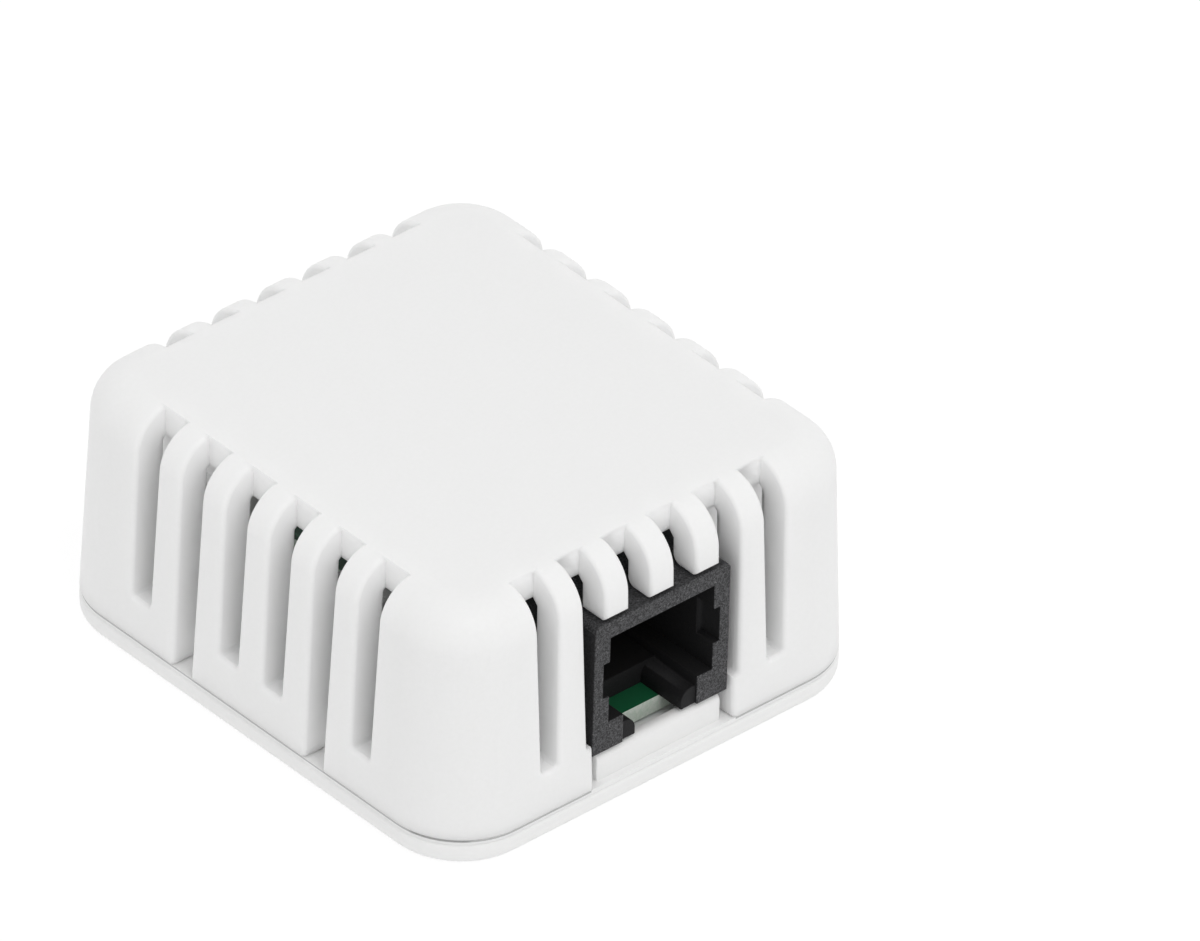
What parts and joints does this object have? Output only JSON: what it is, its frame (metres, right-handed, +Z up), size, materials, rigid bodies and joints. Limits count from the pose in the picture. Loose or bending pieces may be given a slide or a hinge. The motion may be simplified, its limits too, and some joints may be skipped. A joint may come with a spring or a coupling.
{
  "type": "temperature humidity sensor",
  "caption": "White ventilated box with slotted drafted walls and a snap-off cover, holding a small sensor board with a modular jack in its front side.",
  "frame": {"origin": "centre of the underside of the base, which rests on a surface or a wall", "axes": "+Z up through the cover's flat top, +X right and +Y back; the jack opens towards -Y"},
  "size_m": [0.048, 0.0532, 0.025],
  "materials": {
    "cover_plastic": "satin moulded shell",
    "base_plastic": "satin moulded base",
    "jack_plastic": "fine matte moulding",
    "carrier_plastic": "matte moulding",
    "contact_gold": "bright plated wire",
    "board_green": "solder mask over laminate",
    "screw_steel": "zinc plated",
    "chip_black": "moulded epoxy",
    "lead_tin": "tinned",
    "can_aluminium": "brushed can",
    "base_black": "moulded foot",
    "ferrite": "sintered block",
    "fuse_green": "laminated polymer",
    "crystal_metal": "plated lid",
    "ceramic_tan": "fired ceramic",
    "resistor_black": "glazed film",
    "led_lens": "milky lens",
    "membrane_white": "porous film"
  },
  "bodies": {
    "base": {"base_plate": "base_plastic", "circuit_board": "board_green", "board_screws": "screw_steel", "jack_housing": "jack_plastic", "jack_contact_carrier": "carrier_plastic", "jack_contacts": "contact_gold", "microcontroller": "chip_black", "microcontroller_leads": "lead_tin", "line_driver": "chip_black", "line_driver_leads": "lead_tin", "voltage_regulator": "chip_black", "regulator_leads": "lead_tin", "capacitor_base": "base_black", "capacitor_can": "can_aluminium", "power_inductor": "ferrite", "protection_diodes": "chip_black", "diode_leads": "lead_tin", "resettable_fuse": "fuse_green", "crystal_can": "crystal_metal", "ceramic_capacitors": "ceramic_tan", "chip_resistors": "resistor_black", "chip_end_caps": "lead_tin", "status_led": "led_lens", "header_block": "base_black", "header_pins": "contact_gold", "humidity_sensor": "chip_black", "sensor_membrane": "membrane_white", "sensor_pads": "lead_tin"},
    "cover": {"top_cover": "cover_plastic"}
  },
  "joints": [
    {"name": "cover_lift", "type": "slide", "parent": "base", "child": "cover", "axis": [0, 0, 1], "range_m": [0, 0.03]}
  ]
}
